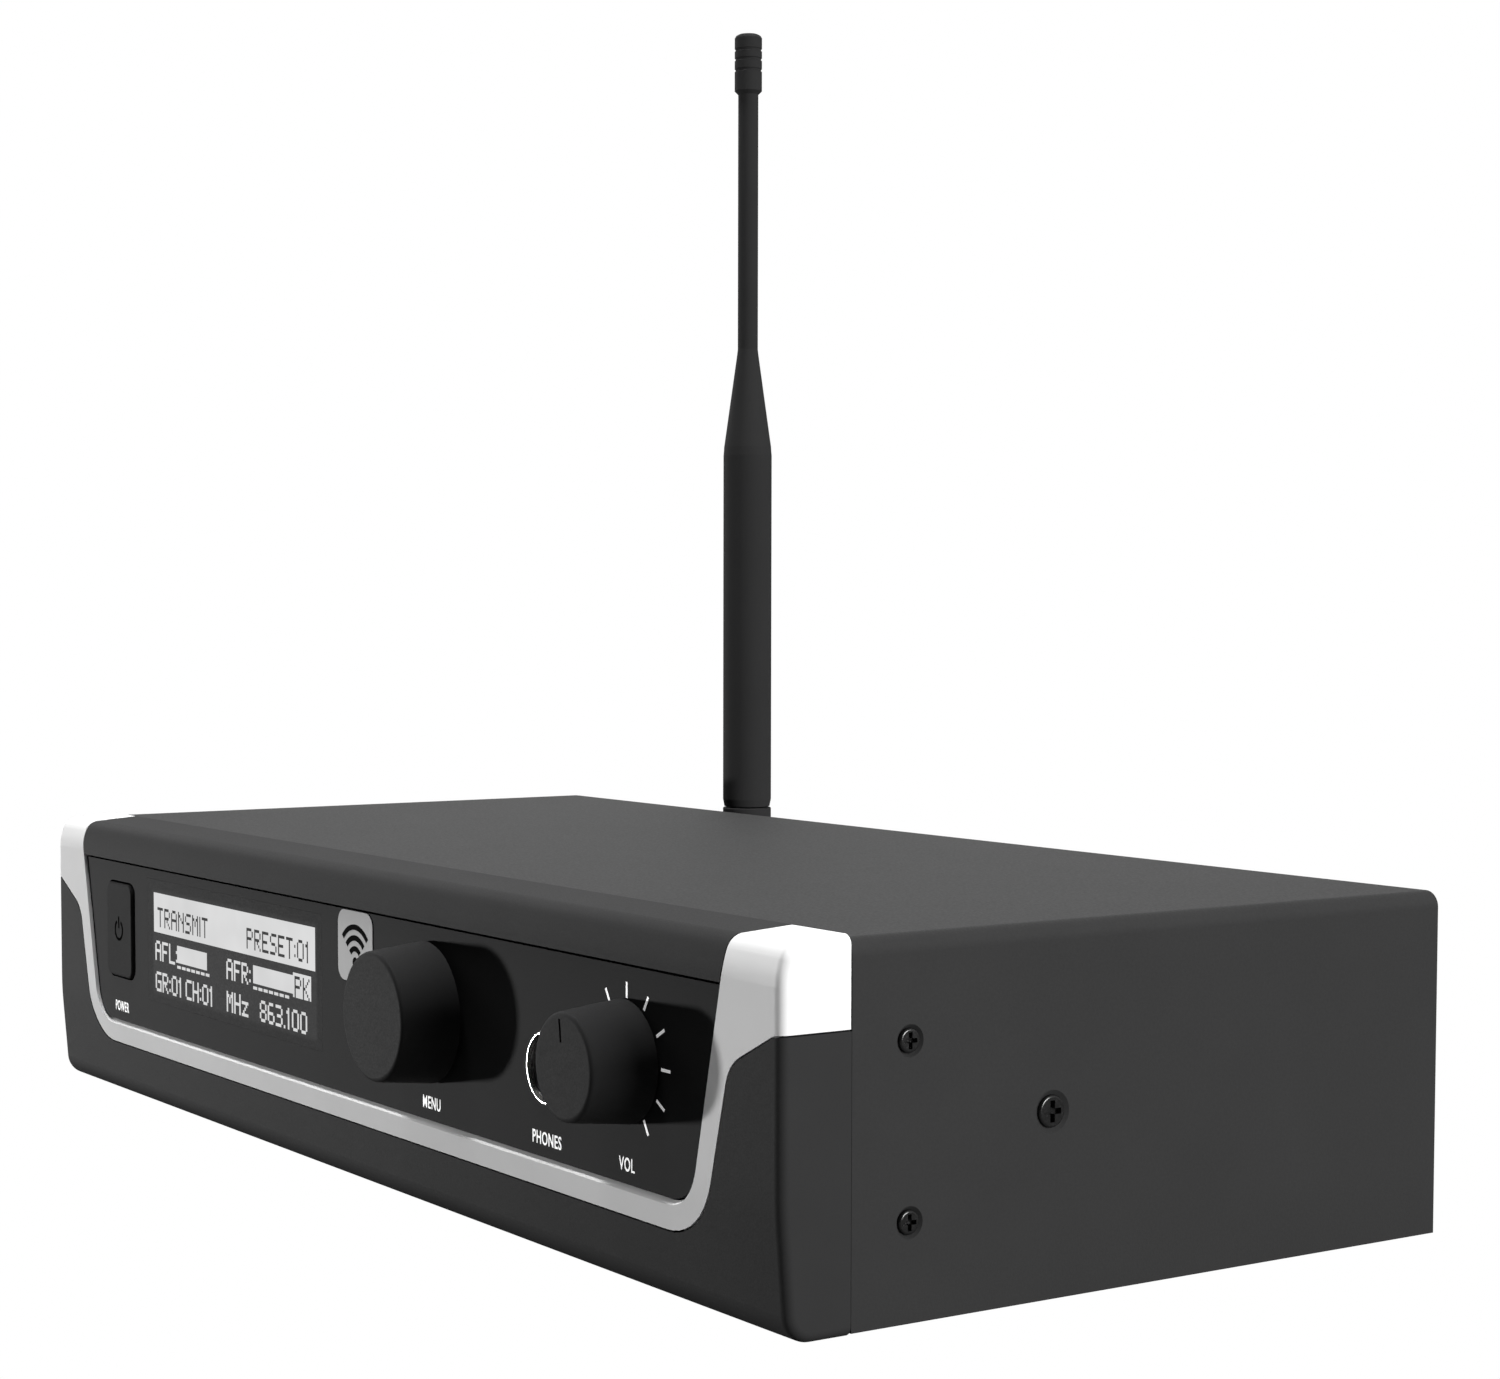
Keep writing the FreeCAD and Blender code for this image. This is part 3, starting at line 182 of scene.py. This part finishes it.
def glow_material(name, colour, strength):
    """Lit display element: bright cells with a faint unevenness of the backlight."""
    n = Nodes(name)
    shader = n.shader.inputs
    uneven = n.between(n.noise(GLOW_PATCH_MM, GLOW_DETAIL), *BACKLIGHT_SPREAD)
    dimmed = n.add("ShaderNodeVectorMath", operation="SCALE")
    dimmed.inputs[0].default_value = colour
    n.link(uneven, dimmed.inputs["Scale"])
    n.link(dimmed.outputs[0], shader["Emission Color"])
    shader["Emission Strength"].default_value = strength
    shader["Base Color"].default_value = (*UNLIT_CELL, 1)
    shader["Roughness"].default_value = 0.7
    shader["Specular IOR Level"].default_value = 0.05
    return n.material


# ---- materials by slot -------------------------------------------------------------------------
SLOT_LOOKS = {      # slot: (colour, roughness, what differs from finish_material's defaults)
    "cover_paint": ((0.025, 0.025, 0.0252), 0.68,
                    {"specular": 0.12, "grain_mm": 0.35, "grain_depth_mm": 0.012}),
    "tray_paint": ((0.016, 0.016, 0.0162), 0.55,
                   {"specular": 0.1, "grain_mm": 0.35, "grain_depth_mm": 0.01}),
    "bezel_plastic": ((0.027, 0.027, 0.0273), 0.74,
                      {"specular": 0.08, "grain_mm": 0.2, "grain_depth_mm": 0.005}),
    "panel_plastic": ((0.016, 0.016, 0.0163), 0.7,
                      {"specular": 0.05, "grain_mm": 0.15, "grain_depth_mm": 0.002}),
    "silver_paint": ((0.82, 0.82, 0.82), 0.6,
                     {"specular": 0.02, "mottle": 0.02, "grain_mm": 0.08, "grain_depth_mm": 0.001}),
    "display_window": ((0.016, 0.016, 0.0163), 0.7, {"specular": 0.05}),
    "lcd_glass": ((0.10, 0.13, 0.15), 0.1, {"grain_depth_mm": 0.0005}),
    "backlight_plastic": ((0.8, 0.82, 0.84), 0.3, {"mottle": 0.03}),
    "button_plastic": ((0.019, 0.019, 0.0193), 0.75,
                       {"specular": 0.05, "grain_mm": 0.2, "grain_depth_mm": 0.003}),
    "knob_plastic": ((0.019, 0.019, 0.0193), 0.7,
                     {"specular": 0.06, "grain_mm": 0.18, "grain_depth_mm": 0.004}),
    "control_housing": ((0.03, 0.03, 0.03), 0.5, {}),
    "plated_steel": ((0.62, 0.61, 0.58), 0.3, {"metallic": 1.0, "mottle": 0.06, "stretch": (1, 1, 8)}),
    "black_screws": ((0.006, 0.006, 0.006), 0.22, {"specular": 0.5, "mottle": 0.3, "grain_mm": 0.4}),
    "nickel_plate": ((0.86, 0.85, 0.83), 0.3,
                     {"metallic": 1.0, "mottle": 0.03, "rough_spread": 0.04, "grain_depth_mm": 0.001}),
    "socket_plastic": ((0.018, 0.018, 0.019), 0.42, {"grain_depth_mm": 0.004}),
    "gold_contacts": ((0.83, 0.62, 0.28), 0.22, {"metallic": 1.0, "mottle": 0.05}),
    "circuit_board": ((0.015, 0.12, 0.05), 0.35, {"mottle": 0.25, "patch_mm": 3.0, "coat": 0.3}),
    "chip_plastic": ((0.02, 0.02, 0.021), 0.55, {}),
    "capacitor_sleeve": ((0.03, 0.05, 0.16), 0.3, {"mottle": 0.05}),
    "foot_rubber": ((0.02, 0.02, 0.02), 0.75, {"grain_mm": 0.5, "grain_depth_mm": 0.02}),
    "insulator_white": ((0.82, 0.81, 0.77), 0.45, {"mottle": 0.03}),
    "antenna_plastic": ((0.026, 0.026, 0.0263), 0.85,
                        {"specular": 0.05, "grain_mm": 0.2, "grain_depth_mm": 0.004}),
    "antenna_rubber": ((0.026, 0.026, 0.0263), 0.85,
                       {"specular": 0.05, "grain_mm": 0.3, "grain_depth_mm": 0.006}),
}


def slot_materials():
    made = {}
    for slot, (colour, rough, differences) in SLOT_LOOKS.items():
        make = window_material if slot == "display_window" else finish_material
        made[slot] = make(slot, colour, rough, **differences)
    return made


def dress_cad_nodes():
    materials = slot_materials()
    for part in frame["record"]["subparts"]:
        mesh = frame["nodes"][part["node"]].data
        mesh.materials.clear()
        mesh.materials.append(materials[part["material_slot"]])


# ---- mesh tools --------------------------------------------------------------------------------
def piece_from(name, build, material, body):
    """Makes one object from a bmesh-filling function, in row-frame metres, and rides it on a body."""
    bm = bmesh.new()
    build(bm)
    bmesh.ops.recalc_face_normals(bm, faces=bm.faces)
    mesh = bpy.data.meshes.new(name)
    bm.to_mesh(mesh)
    bm.free()
    mesh.materials.append(material)
    piece = bpy.data.objects.new(name, mesh)
    bpy.context.scene.collection.objects.link(piece)
    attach(piece, body)
    return piece


def add_plate(bm, outline, y_front, thickness):
    """Closed plate facing -Y: outline is a list of (x, z) in metres."""
    front = [bm.verts.new((x, y_front, z)) for x, z in outline]
    back = [bm.verts.new((x, y_front + thickness, z)) for x, z in outline]
    bm.faces.new(front)
    bm.faces.new(list(reversed(back)))
    count = len(outline)
    for i in range(count):
        j = (i + 1) % count
        bm.faces.new((front[i], back[i], back[j], front[j]))


def rectangle(x0, x1, z0, z1):
    return [(x0, z0), (x1, z0), (x1, z1), (x0, z1)]


def arc_band(cx, cz, r_in, r_out, start_deg, end_deg, steps=20):
    """Closed outline of a ring segment; angles run from the upward direction towards +X."""
    angles = [math.radians(start_deg + (end_deg - start_deg) * i / steps) for i in range(steps + 1)]
    outer = [(cx + r_out * math.sin(a), cz + r_out * math.cos(a)) for a in angles]
    inner = [(cx + r_in * math.sin(a), cz + r_in * math.cos(a)) for a in reversed(angles)]
    return outer + inner


# ---- printed marks -----------------------------------------------------------------------------
PRINT_CENTRE_Z = 14.8          # mm above the bezel's lower edge
CAPITAL_HEIGHT = 1.65
LABELS = {"POWER": ("power_button", 5.5), "MENU": ("menu_knob", 4.8),
          "PHONES": ("phones_jack_sleeve", 6.9), "VOL": ("volume_knob", 3.4)}   # piece above, width in mm
LETTER_WEIGHT, LETTER_SPACING = 0.012, 1.1
INK_PAINTED_GLOW = 0.3                 # painted light: the white print glows a little, so it stays bright where shadow falls on it
SCALE_MARKS, SCALE_START, SCALE_STEP = 11, -150, 30     # count, then degrees from the upward direction
SCALE_RADII, SCALE_HALF_WIDTH = (7.4, 9.3), 0.18        # mm


def text_mesh(words):
    """Thin mesh of the words in the built-in font, at no particular size."""
    curve = bpy.data.curves.new("text_" + words, "FONT")
    curve.body = words
    curve.offset = LETTER_WEIGHT
    curve.extrude = 0.01
    curve.space_character = LETTER_SPACING
    curve.resolution_u = 4
    holder = bpy.data.objects.new("text_holder", curve)
    bpy.context.scene.collection.objects.link(holder)
    bpy.context.view_layer.update()
    mesh = bpy.data.meshes.new_from_object(holder)
    bpy.data.objects.remove(holder)
    bpy.data.curves.remove(curve)
    return mesh


def add_label(words, node, width_mm, material):
    mesh = text_mesh(words)
    xs = [v.co.x for v in mesh.vertices]
    ys = [v.co.y for v in mesh.vertices]
    zs = [v.co.z for v in mesh.vertices]
    sx = width_mm * MM / (max(xs) - min(xs))
    sy = CAPITAL_HEIGHT * MM / (max(ys) - min(ys))
    sz = INK / (max(zs) - min(zs))
    centre = front_point(middle(node).x / MM, PRINT_CENTRE_Z, PANEL_LOW.y)
    for v in mesh.vertices:
        x = (v.co.x - (max(xs) + min(xs)) / 2) * sx
        z = (v.co.y - (max(ys) + min(ys)) / 2) * sy
        v.co = centre + Vector((x, -(v.co.z - min(zs)) * sz, z))
    mesh.materials.clear()
    mesh.materials.append(material)
    piece = bpy.data.objects.new("label_" + words.lower(), mesh)
    bpy.context.scene.collection.objects.link(piece)
    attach(piece, "case")


def build_volume_scale(bm):
    knob = middle("volume_knob")
    half_width = SCALE_HALF_WIDTH * MM
    for mark in range(SCALE_MARKS):
        angle = math.radians(SCALE_START + SCALE_STEP * mark)
        out = Vector((math.sin(angle), math.cos(angle)))
        side = Vector((out.y, -out.x)) * half_width
        centre = Vector((knob.x, knob.z))
        inner, outer = (centre + out * radius * MM for radius in SCALE_RADII)
        outline = [inner - side, inner + side, outer + side, outer - side]
        add_plate(bm, [tuple(p) for p in outline], PANEL_LOW.y - INK, INK)


def add_printed_marks():
    ink = finish_material("white_ink_painted_glow", (0.85, 0.85, 0.85), 0.5, mottle=0.03,
                          grain_depth_mm=SMOOTH_GRAIN_MM)
    shader = ink.node_tree.nodes["Principled BSDF"].inputs
    # Painted light: the labels and scale marks emit a faint white glow, so they stay bright inside the
    # knobs' shadows.
    shader["Emission Color"].default_value = (1, 1, 1, 1)
    shader["Emission Strength"].default_value = INK_PAINTED_GLOW
    for words, (node, width) in LABELS.items():
        add_label(words, node, width, ink)
    piece_from("volume_scale", build_volume_scale, ink, "case")


# ---- power symbol and badge --------------------------------------------------------------------
POWER_RING, POWER_GAP = (1.3, 1.75), 32         # mm, and degrees open on each side of the top
POWER_BAR, POWER_BAR_HALF = (0.3, 2.2), 0.22    # mm above the button's middle, and half the bar's width
BADGE_CENTRE = (4.5, 33.2)                      # mm from the centre line and the bezel's lower edge
BADGE_HALF, BADGE_CORNER = (5.2, 4.9), 1.9      # mm
BADGE_THICK = 0.12 * MM
WAVE_DROP, WAVE_DOT = 2.2, 0.75                 # mm from the badge's middle down to the dot; its radius
WAVE_RADII, WAVE_HALF, WAVE_SWEEP = (1.9, 3.4, 4.9), 0.38, 48   # mm, mm, degrees


def build_power_symbol(bm):
    centre = middle("power_button")
    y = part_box("power_button")[0].y - INK
    add_plate(bm, arc_band(centre.x, centre.z, POWER_RING[0] * MM, POWER_RING[1] * MM,
                           POWER_GAP, 360 - POWER_GAP), y, INK)
    half_bar = POWER_BAR_HALF * MM
    add_plate(bm, rectangle(centre.x - half_bar, centre.x + half_bar,
                            centre.z + POWER_BAR[0] * MM, centre.z + POWER_BAR[1] * MM), y, INK)


def rounded_outline(cx, cz, half_w, half_h, radius, steps=8):
    outline = []
    for sx, sz, start in ((1, 1, 0), (1, -1, 90), (-1, -1, 180), (-1, 1, 270)):
        for i in range(steps + 1):
            angle = math.radians(start + 90 * i / steps)
            outline.append((cx + sx * (half_w - radius) + radius * math.sin(angle),
                            cz + sz * (half_h - radius) + radius * math.cos(angle)))
    return outline


def build_badge(bm):
    centre = front_point(*BADGE_CENTRE, 0)
    add_plate(bm, rounded_outline(centre.x, centre.z, BADGE_HALF[0] * MM, BADGE_HALF[1] * MM,
                                  BADGE_CORNER * MM),
              PANEL_LOW.y - BADGE_THICK, BADGE_THICK)


def build_badge_arcs(bm):
    centre = front_point(BADGE_CENTRE[0], BADGE_CENTRE[1] - WAVE_DROP, 0)
    y = PANEL_LOW.y - BADGE_THICK - INK
    for radius in WAVE_RADII:
        add_plate(bm, arc_band(centre.x, centre.z, (radius - WAVE_HALF) * MM, (radius + WAVE_HALF) * MM,
                               -WAVE_SWEEP, WAVE_SWEEP), y, INK)
    add_plate(bm, arc_band(centre.x, centre.z, 0, WAVE_DOT * MM, 0, 359), y, INK)


def add_badge_and_power_symbol():
    plate = finish_material("badge_silver", (0.62, 0.62, 0.62), 0.7, specular=0.05, mottle=0.03,
                            grain_depth_mm=SMOOTH_GRAIN_MM)
    dark = finish_material("badge_ink", (0.012, 0.012, 0.012), 0.8, specular=0.0)
    piece_from("badge_plate", build_badge, plate, "case")
    piece_from("badge_arcs", build_badge_arcs, dark, "case")
    symbol = finish_material("power_symbol_ink", (0.004, 0.004, 0.004), 0.8, specular=0.0)
    piece_from("power_symbol", build_power_symbol, symbol, "power_key")


# ---- lit display -------------------------------------------------------------------------------
GLYPHS = {
    "0": "01110 10001 10001 10001 10001 10001 01110", "1": "010 110 010 010 010 010 010",
    "3": "11110 00001 00001 01110 00001 00001 11110", "6": "01110 10000 10000 11110 10001 10001 01110",
    "8": "01110 10001 10001 01110 10001 10001 01110", "A": "01110 10001 10001 11111 10001 10001 10001",
    "C": "01111 10000 10000 10000 10000 10000 01111", "E": "11111 10000 10000 11110 10000 10000 11111",
    "F": "11111 10000 10000 11110 10000 10000 10000", "G": "01111 10000 10000 10111 10001 10001 01111",
    "H": "10001 10001 10001 11111 10001 10001 10001", "I": "1 1 1 1 1 1 1",
    "K": "10001 10010 10100 11000 10100 10010 10001", "L": "10000 10000 10000 10000 10000 10000 11111",
    "M": "10001 11011 10101 10101 10001 10001 10001", "N": "10001 11001 10101 10011 10001 10001 10001",
    "P": "11110 10001 10001 11110 10000 10000 10000", "R": "11110 10001 10001 11110 10100 10010 10001",
    "S": "01111 10000 10000 01110 00001 00001 11110", "T": "11111 00100 00100 00100 00100 00100 00100",
    "z": "00000 00000 11111 00010 00100 01000 11111", ":": "0 0 1 0 0 1 0",
    ".": "0 0 0 0 0 0 1", " ": "0 0 0 0 0 0 0",
}


HEADER_ROWS, TITLE_ROW, METER_ROW, CHANNEL_ROW = 14, 5, 17, 28
METER_HEIGHT, RULER_ROW, RULER_PITCH, RULER_END = 6, 24, 4, 109
PEAK_BOX = (112, 16, 125, 24)                  # left, top, right, bottom cell
METERS = (("AFL:", 1, 20, 45), ("AFR:", 61, 82, 125))     # name, its column, the bar's first and end


class Picture:
    """Grid of display cells, row 0 at the top."""

    def __init__(self):
        self.cells = [[False] * COLUMNS for _ in range(ROWS)]

    def fill(self, left, top, right, bottom, on=True):
        for row in range(top, bottom):
            for column in range(left, right):
                self.cells[row][column] = on

    def write(self, words, left, top, on=True):
        for letter in words:
            rows = GLYPHS[letter].split()
            for r, bits in enumerate(rows):
                for c, bit in enumerate(bits):
                    if bit == "1":
                        self.cells[top + r][left + c] = on
            left += len(rows[0]) + 1

    def runs(self):
        for row, cells in enumerate(self.cells):
            start = None
            for column, on in enumerate(cells + [False]):
                if on and start is None:
                    start = column
                elif not on and start is not None:
                    yield row, start, column
                    start = None


def draw_picture():
    """Header band with dark letters, two level meters with a ruler under each, channel and frequency."""
    picture = Picture()
    picture.fill(0, 0, COLUMNS, HEADER_ROWS)
    picture.write("TRANSMIT", 3, TITLE_ROW, on=False)
    picture.write("PRESET:01", 77, TITLE_ROW, on=False)
    for name, left, bar, end in METERS:
        picture.write(name, left, METER_ROW)
        picture.fill(bar, METER_ROW, end, METER_ROW + METER_HEIGHT)
        for column in range(bar, min(end, RULER_END), RULER_PITCH):
            picture.fill(column, RULER_ROW, column + RULER_PITCH - 1, RULER_ROW + 1)
    picture.fill(*PEAK_BOX)
    picture.write("PK", PEAK_BOX[0] + 1, METER_ROW, on=False)
    picture.write("GR:01 CH:01", 1, CHANNEL_ROW)
    picture.write("MHz", 61, CHANNEL_ROW)
    picture.write("863.100", 87, CHANNEL_ROW)
    return picture


def build_lit_cells(bm):
    corner = front_point(LIT_X[0], LIT_Z[1], 0)
    cell_w = (LIT_X[1] - LIT_X[0]) * MM / COLUMNS
    cell_h = (LIT_Z[1] - LIT_Z[0]) * MM / ROWS
    for row, start, end in draw_picture().runs():
        top = corner.z - row * cell_h
        outline = rectangle(corner.x + start * cell_w, corner.x + end * cell_w, top - cell_h, top)
        add_plate(bm, outline, LENS_LOW.y - INK, INK)


def add_display():
    cells = glow_material("display_glow", (0.92, 0.92, 0.92), 0.72)
    piece_from("display_cells", build_lit_cells, cells, "case")


# ---- stage, lights and camera ------------------------------------------------------------------
FLOOR_RADIUS, FLOOR_DROP = 6.0, 0.2 * MM     # m; it lies just under the feet, so faces don't coincide
FLOOR_BOUNCE = (0.12, 0.12, 0.12)
WORLD_RAMP = (-0.10, 0.30, 0.0, 0.4)    # light from directions by their Y part: from, to, least, most


def add_floor():
    """White floor that runs into the white background; it returns little light and casts no shadow."""
    bpy.ops.mesh.primitive_circle_add(vertices=96, radius=FLOOR_RADIUS, fill_type="NGON")
    floor = bpy.context.object
    floor.name = "stage_floor"
    floor.location.z = -FLOOR_DROP
    floor.visible_shadow = False
    n = Nodes("stage_floor")
    white, grey = n.add("ShaderNodeEmission"), n.add("ShaderNodeBsdfDiffuse")
    grey.inputs["Color"].default_value = (*FLOOR_BOUNCE, 1)
    either = n.add("ShaderNodeMixShader")
    n.link(n.add("ShaderNodeLightPath").outputs["Is Camera Ray"], either.inputs["Fac"])
    n.link(grey.outputs[0], either.inputs[1])
    n.link(white.outputs[0], either.inputs[2])
    n.link(either.outputs[0], n.tree.nodes["Material Output"].inputs["Surface"])
    floor.data.materials.append(n.material)


def set_world():
    """White to the eye; as light it comes from behind the object and fades to nothing in front of it."""
    world = bpy.data.worlds.new("studio")
    bpy.context.scene.world = world
    world.use_nodes = True
    tree = world.node_tree
    tree.nodes.clear()
    output = tree.nodes.new("ShaderNodeOutputWorld")
    seen, cast = tree.nodes.new("ShaderNodeBackground"), tree.nodes.new("ShaderNodeBackground")
    seen.inputs["Color"].default_value = (1, 1, 1, 1)
    seen.inputs["Strength"].default_value = 1.0
    direction = tree.nodes.new("ShaderNodeTexCoord")
    split = tree.nodes.new("ShaderNodeSeparateXYZ")
    ramp = tree.nodes.new("ShaderNodeMapRange")
    for name, value in zip(("From Min", "From Max", "To Min", "To Max"), WORLD_RAMP):
        ramp.inputs[name].default_value = value
    tree.links.new(direction.outputs["Generated"], split.inputs[0])
    tree.links.new(split.outputs["Y"], ramp.inputs["Value"])
    tree.links.new(ramp.outputs["Result"], cast.inputs["Strength"])
    cast.inputs["Color"].default_value = (1, 1, 1, 1)
    path, mix = tree.nodes.new("ShaderNodeLightPath"), tree.nodes.new("ShaderNodeMixShader")
    tree.links.new(path.outputs["Is Camera Ray"], mix.inputs["Fac"])
    tree.links.new(cast.outputs[0], mix.inputs[1])
    tree.links.new(seen.outputs[0], mix.inputs[2])
    tree.links.new(mix.outputs[0], output.inputs["Surface"])


def add_area_light(name, place, aim, size, power):
    light = bpy.data.lights.new(name, "AREA")
    light.size = size
    light.energy = power
    lamp = bpy.data.objects.new(name, light)
    lamp.location = place
    lamp.visible_camera = False
    lamp.rotation_euler = (Vector(aim) - Vector(place)).to_track_quat("-Z", "Y").to_euler()
    bpy.context.scene.collection.objects.link(lamp)


LIGHTS = {      # name: (place, point it faces, size, power), in m and W
    "key_front_left": ((-1.30, -0.87, -0.12), (0.0, -0.06, 0.025), 0.07, 17.5),
    "above": ((-0.10, -0.14, 1.20), (0.0, 0.0, 0.02), 0.3, 15.0),
    "left_above": ((-1.26, -0.15, 0.84), (0.0, 0.0, 0.03), 0.6, 8.0),
    "behind_left": ((-1.20, 0.95, 0.45), (0.0, 0.0, 0.04), 1.0, 3.2),
    "side_right": ((1.40, 0.36, 0.40), (0.1, 0.0, 0.02), 0.6, 26.5),
}


def add_lights():
    """The key lies below the floor's level; the floor casts no shadow, so its light still arrives."""
    for name, (place, aim, size, power) in LIGHTS.items():
        add_area_light(name, place, aim, size, power)


CAMERA_PLACE = (0.352, -0.174615, 0.080755)    # m, from the bezel's front plane and lower edge
CAMERA_YAW, CAMERA_DOWN = 57.27, 3.218          # degrees
CAMERA_LENS, CAMERA_SENSOR, CAMERA_SHIFT = 67.97, 36.0, (0.0659, 0.0465)
CAMERA_CLIP = (0.01, 50.0)


def add_camera():
    data = bpy.data.cameras.new("camera")
    data.lens = CAMERA_LENS
    data.sensor_width = CAMERA_SENSOR
    data.sensor_fit = "HORIZONTAL"
    data.shift_x, data.shift_y = CAMERA_SHIFT
    data.clip_start, data.clip_end = CAMERA_CLIP
    camera = bpy.data.objects.new("camera", data)
    camera.location = Vector(CAMERA_PLACE) + Vector((0, FRONT_Y, BASE_Z))
    camera.rotation_euler = (math.radians(90 - CAMERA_DOWN), 0, math.radians(CAMERA_YAW))
    bpy.context.scene.collection.objects.link(camera)
    bpy.context.scene.camera = camera


dress_cad_nodes()
add_printed_marks()
add_badge_and_power_symbol()
add_display()
add_floor()
set_world()
add_lights()
add_camera()
bpy.context.scene.view_settings.view_transform = "Standard"
